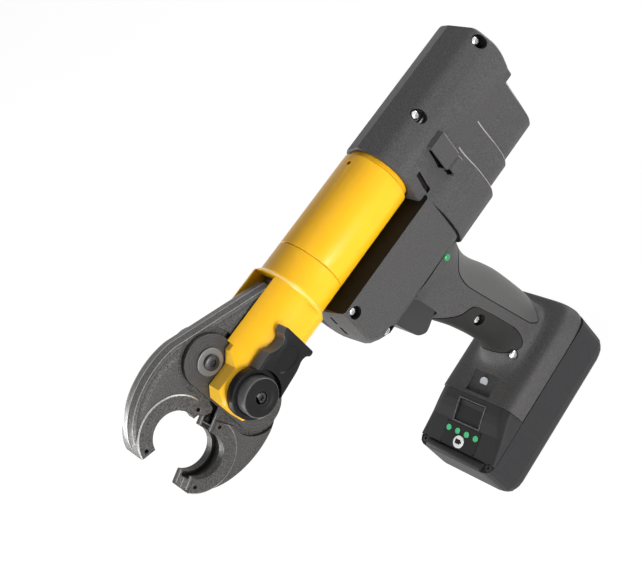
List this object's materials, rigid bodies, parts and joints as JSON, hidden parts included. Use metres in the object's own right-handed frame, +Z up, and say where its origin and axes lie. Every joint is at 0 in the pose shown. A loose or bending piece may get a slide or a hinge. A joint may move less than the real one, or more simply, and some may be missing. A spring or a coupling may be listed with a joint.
{
  "type": "pex press tool",
  "caption": "Cordless press tool for plastic pipe fittings: pistol grip, battery foot, hydraulic tube and a swivelling fork head holding hinged pressing tongs.",
  "frame": {"origin": "middle of the battery's flat bottom face, which the tool stands on", "axes": "+X forward towards the tongs, +Y to the tool's left, where the lock pin's knob is, +Z up"},
  "size_m": [0.3367, 0.0755, 0.302],
  "materials": {
    "housing_plastic": "fine moulded grain",
    "battery_plastic": "fine moulded grain",
    "yellow_paint": "gloss paint",
    "black_plastic": "satin",
    "trigger_plastic": "satin",
    "grip_rubber": "grained",
    "machined_steel": "machined",
    "dark_steel": "blackened",
    "jaw_steel": "phosphated, rubbed bright along the edges",
    "bright_screw": "zinc plated",
    "alloy": "cast and machined",
    "gear_steel": "plain",
    "board_green": "solder mask",
    "contact_brass": "plain",
    "cell_wrap": "shrink wrap",
    "display_black": "film",
    "light_green": "clear, lit green",
    "light_clear": "clear lens",
    "button_white": "satin"
  },
  "bodies": {
    "drive": {"housing_left": "housing_plastic", "housing_right": "housing_plastic", "handle_left": "housing_plastic", "handle_right": "housing_plastic", "motor_cover_left": "housing_plastic", "motor_cover_right": "housing_plastic", "press_tube": "yellow_paint", "pump_block": "alloy", "gearbox": "gear_steel", "motor": "gear_steel", "control_board": "board_green", "switch_unit": "black_plastic", "grip_pad": "grip_rubber", "grip_insert": "grip_rubber", "status_light": "light_green", "work_light": "light_clear", "case_screws": "bright_screw", "handle_screws": "bright_screw", "battery_terminals": "contact_brass"},
    "head": {"fork_head": "yellow_paint", "swivel_ring": "machined_steel", "pin_seat": "black_plastic", "plate_left": "machined_steel", "plate_right": "machined_steel", "jaw_bolts": "dark_steel", "bolt_washers": "machined_steel", "bolt_screws": "dark_steel"},
    "ram": {"piston": "machined_steel", "roller_carrier": "dark_steel", "roller_axles": "machined_steel"},
    "upper_roller": {"upper_roller": "machined_steel"},
    "lower_roller": {"lower_roller": "machined_steel"},
    "upper_jaw": {"upper_jaw": "jaw_steel"},
    "lower_jaw": {"lower_jaw": "jaw_steel"},
    "lock_pin": {"lock_pin": "machined_steel", "pin_knob": "black_plastic", "knob_screw": "dark_steel"},
    "lock_lever": {"lock_lever": "black_plastic"},
    "trigger": {"trigger": "trigger_plastic"},
    "motor_shaft": {"motor_shaft": "machined_steel"},
    "battery": {"battery_lower_case": "battery_plastic", "battery_upper_case": "battery_plastic", "battery_cells": "cell_wrap", "battery_contacts": "contact_brass", "display_panel": "display_black", "charge_lights": "light_green", "battery_screws": "bright_screw"},
    "release_button": {"release_button": "black_plastic"},
    "level_button": {"level_button": "button_white"}
  },
  "joints": [
    {"name": "head_swivel", "type": "hinge", "parent": "drive", "child": "head", "pos_m": [0.0405, 0, 0.2483], "axis": [0.999, 0, 0.0436], "continuous": true},
    {"name": "ram_slide", "type": "slide", "parent": "head", "child": "ram", "axis": [0.999, 0, 0.0436], "range_m": [-0.006, 0.024]},
    {"name": "upper_roller_spin", "type": "hinge", "parent": "ram", "child": "upper_roller", "pos_m": [0.06011, 0, 0.25766], "axis": [0, 1, 0], "continuous": true},
    {"name": "lower_roller_spin", "type": "hinge", "parent": "ram", "child": "lower_roller", "pos_m": [0.06085, 0, 0.24068], "axis": [0, 1, 0], "continuous": true},
    {"name": "upper_jaw_pivot", "type": "hinge", "parent": "head", "child": "upper_jaw", "pos_m": [0.12235, 0, 0.2764], "axis": [0, 1, 0], "range_deg": [-4.51, 18.01]},
    {"name": "lower_jaw_pivot", "type": "hinge", "parent": "head", "child": "lower_jaw", "pos_m": [0.12449, 0, 0.22744], "axis": [0, 1, 0], "range_deg": [-18.01, 4.51]},
    {"name": "lock_pin_pull", "type": "slide", "parent": "head", "child": "lock_pin", "axis": [0, 1, 0], "range_m": [0, 0.036]},
    {"name": "lock_lever_slide", "type": "slide", "parent": "head", "child": "lock_lever", "axis": [-0.999, 0, -0.0436], "range_m": [0, 0.004], "stiffness_N_per_m": 800, "springref_m": -0.002},
    {"name": "trigger_pull", "type": "slide", "parent": "drive", "child": "trigger", "axis": [-0.999, 0, -0.0436], "range_m": [0, 0.006], "stiffness_N_per_m": 900, "springref_m": -0.002},
    {"name": "motor_spin", "type": "hinge", "parent": "drive", "child": "motor_shaft", "pos_m": [-0.09937, 0, 0.24219], "axis": [0.999, 0, 0.0436], "continuous": true},
    {"name": "battery_slide", "type": "slide", "parent": "drive", "child": "battery", "axis": [1, 0, 0], "range_m": [0, 0.085]},
    {"name": "release_press", "type": "slide", "parent": "battery", "child": "release_button", "axis": [0, 0, -1], "range_m": [0, 0.003], "stiffness_N_per_m": 600, "springref_m": -0.002},
    {"name": "level_press", "type": "slide", "parent": "battery", "child": "level_button", "axis": [-0.2893, 0, -0.9572], "range_m": [0, 0.001], "stiffness_N_per_m": 500, "springref_m": -0.001}
  ],
  "couplings": [
    {"joint": "upper_jaw_pivot", "follows": "ram_slide", "rad_per_m": 13.09},
    {"joint": "lower_jaw_pivot", "follows": "ram_slide", "rad_per_m": -13.09}
  ]
}
